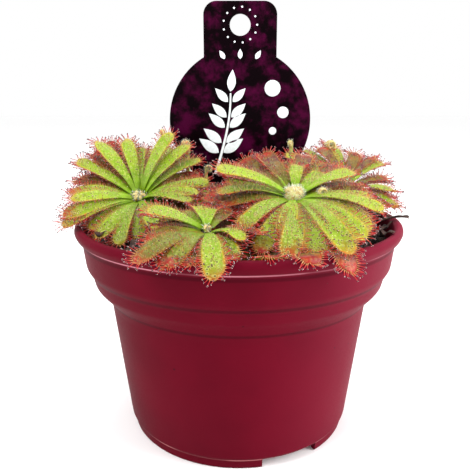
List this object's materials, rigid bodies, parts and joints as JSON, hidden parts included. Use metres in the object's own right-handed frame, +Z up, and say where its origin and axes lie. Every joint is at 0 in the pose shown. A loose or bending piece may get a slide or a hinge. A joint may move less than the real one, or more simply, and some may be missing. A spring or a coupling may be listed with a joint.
{
  "type": "potted sundew",
  "caption": "Clump of sticky-leaved sundew rosettes in dark peat, in a low round plastic nursery pot with a stepped rim and an upright plant label.",
  "frame": {"origin": "centre of the pot's base, on the surface it stands on", "axes": "+Z up along the pot's axis, -Y towards the front, which the printed face of the label faces"},
  "size_m": [0.0957, 0.103, 0.1203],
  "materials": {
    "pot_plastic": "satin moulded burgundy polypropylene",
    "peat": "damp, crumbly dark peat",
    "label_card": "printed plastic card, smooth, mottled dark plum with white print",
    "sundew_leaf": "soft moist leaf, yellow-green with a red fringe"
  },
  "bodies": {
    "root": {"pot": "pot_plastic", "soil": "peat", "label": "label_card", "rosette_left": "sundew_leaf", "rosette_right": "sundew_leaf", "rosette_front": "sundew_leaf", "rosette_middle": "sundew_leaf", "rosette_right_back": "sundew_leaf", "rosette_left_back": "sundew_leaf"}
  },
  "joints": []
}
